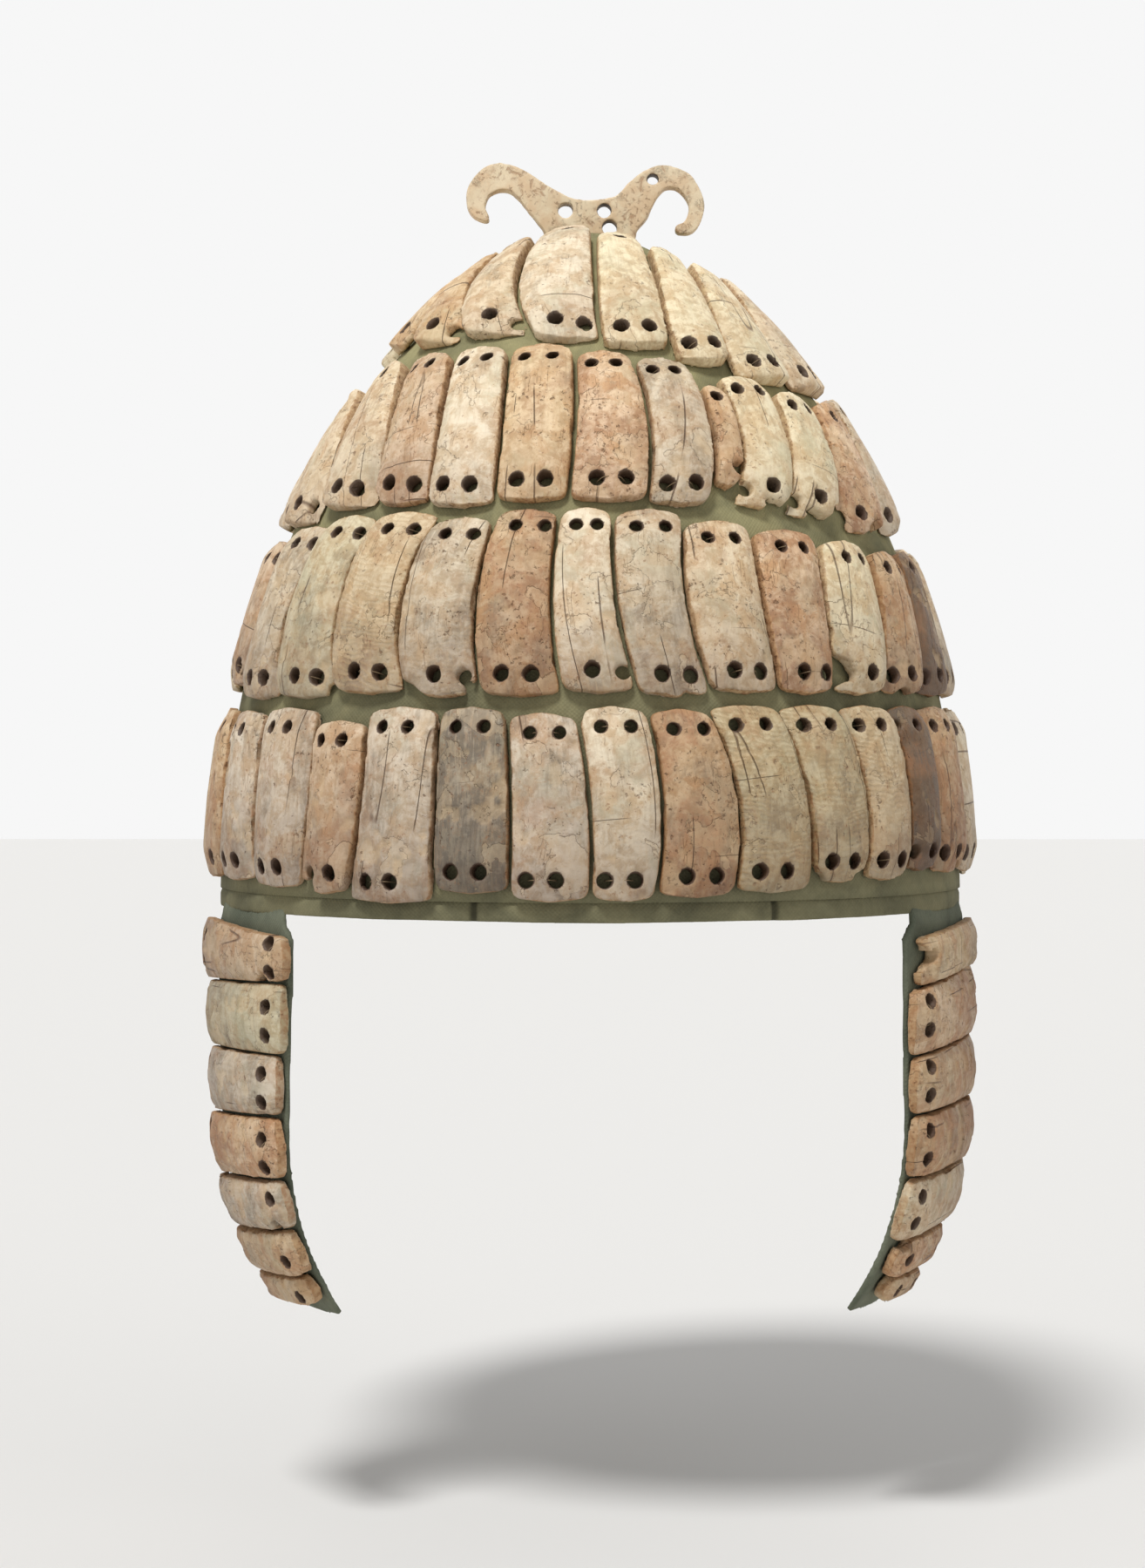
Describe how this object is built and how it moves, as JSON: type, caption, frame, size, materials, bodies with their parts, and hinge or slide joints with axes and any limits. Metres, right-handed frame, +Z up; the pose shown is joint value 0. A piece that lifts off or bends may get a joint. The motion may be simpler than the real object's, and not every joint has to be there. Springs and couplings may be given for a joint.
{
  "type": "boar tusk helmet",
  "caption": "Tall cloth war cap covered with rows of split boar tusk plates, with a horned bone crest and two hanging cheek guards of plates on cloth.",
  "frame": {"origin": "middle of the head opening, in the plane of the cap's lower edge", "axes": "+Z up through the crest, -Y to the helmet's front, +X to the wearer's left"},
  "size_m": [0.2185, 0.2384, 0.3187],
  "materials": {
    "tusk": "satin",
    "crest_bone": "satin",
    "cap_cloth": "matte",
    "guard_cloth": "matte",
    "felt": "matte",
    "thong": "satin"
  },
  "bodies": {
    "helmet": {"cap_cloth": "cap_cloth", "felt_lining": "felt", "hem_band": "cap_cloth", "thong_web": "thong", "thong_ring_low": "thong", "thong_ring_middle": "thong", "thong_ring_high": "thong", "crest": "crest_bone", "row_1_front": "tusk", "row_1_front_left": "tusk", "row_1_left": "tusk", "row_1_back_left": "tusk", "row_1_back": "tusk", "row_1_back_right": "tusk", "row_1_right": "tusk", "row_1_front_right": "tusk", "row_2_front": "tusk", "row_2_front_left": "tusk", "row_2_left": "tusk", "row_2_back_left": "tusk", "row_2_back": "tusk", "row_2_back_right": "tusk", "row_2_right": "tusk", "row_2_front_right": "tusk", "row_3_front": "tusk", "row_3_front_left": "tusk", "row_3_left": "tusk", "row_3_back_left": "tusk", "row_3_back": "tusk", "row_3_back_right": "tusk", "row_3_right": "tusk", "row_3_front_right": "tusk", "row_4_front": "tusk", "row_4_front_left": "tusk", "row_4_left": "tusk", "row_4_back_left": "tusk", "row_4_back": "tusk", "row_4_back_right": "tusk", "row_4_right": "tusk", "row_4_front_right": "tusk"},
    "right_cheek_guard": {"right_cheek_backing": "guard_cloth", "right_cheek_plate_1": "tusk", "right_cheek_plate_2": "tusk", "right_cheek_plate_3": "tusk", "right_cheek_plate_4": "tusk", "right_cheek_plate_5": "tusk", "right_cheek_plate_6": "tusk", "right_cheek_plate_7": "tusk"},
    "left_cheek_guard": {"left_cheek_backing": "guard_cloth", "left_cheek_plate_1": "tusk", "left_cheek_plate_2": "tusk", "left_cheek_plate_3": "tusk", "left_cheek_plate_4": "tusk", "left_cheek_plate_5": "tusk", "left_cheek_plate_6": "tusk", "left_cheek_plate_7": "tusk"}
  },
  "joints": [
    {"name": "right_cheek_swing", "type": "hinge", "parent": "helmet", "child": "right_cheek_guard", "pos_m": [-0.09195, -0.05685, -0.0009], "axis": [-0.454, 0.891, 0], "range_deg": [-12, 75]},
    {"name": "left_cheek_swing", "type": "hinge", "parent": "helmet", "child": "left_cheek_guard", "pos_m": [0.095, -0.05032, -0.0009], "axis": [-0.3907, -0.9205, 0], "range_deg": [-12, 75]}
  ]
}
